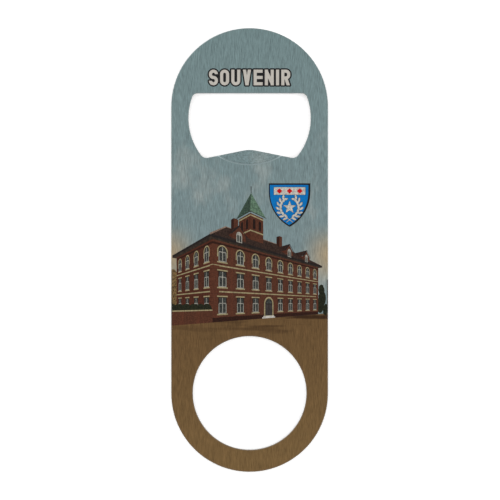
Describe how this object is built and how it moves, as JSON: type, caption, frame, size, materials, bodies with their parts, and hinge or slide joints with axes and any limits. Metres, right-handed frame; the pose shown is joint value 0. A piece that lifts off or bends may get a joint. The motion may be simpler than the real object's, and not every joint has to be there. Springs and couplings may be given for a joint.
{
  "type": "bottle opener",
  "caption": "Flat stamped steel bottle opener with rounded ends, a cap opening with a coined prying lip, a finger ring hole and a printed picture, shield and outlined word on its front.",
  "frame": {"origin": "middle of the plate's flat back face, below the middle of its outline", "axes": "+X across the plate, +Y along it towards the cap opening, +Z out of the printed front face"},
  "size_m": [0.04, 0.1132, 0.002],
  "materials": {
    "steel": "brushed along its length, edges deburred",
    "picture_ink": "translucent cured ink over brushed steel, teal sky above an ochre ground",
    "lip_ink": "the sky's translucent ink on the coined area's finely pitted floor",
    "emblem_ink": "blue cured ink with bare steel and red charges",
    "outline_ink": "opaque black cured ink"
  },
  "bodies": {
    "root": {"opener_plate": "steel", "face_print": "picture_ink", "lip_print": "lip_ink", "emblem_print": "emblem_ink", "lettering_print": "outline_ink"}
  },
  "joints": []
}
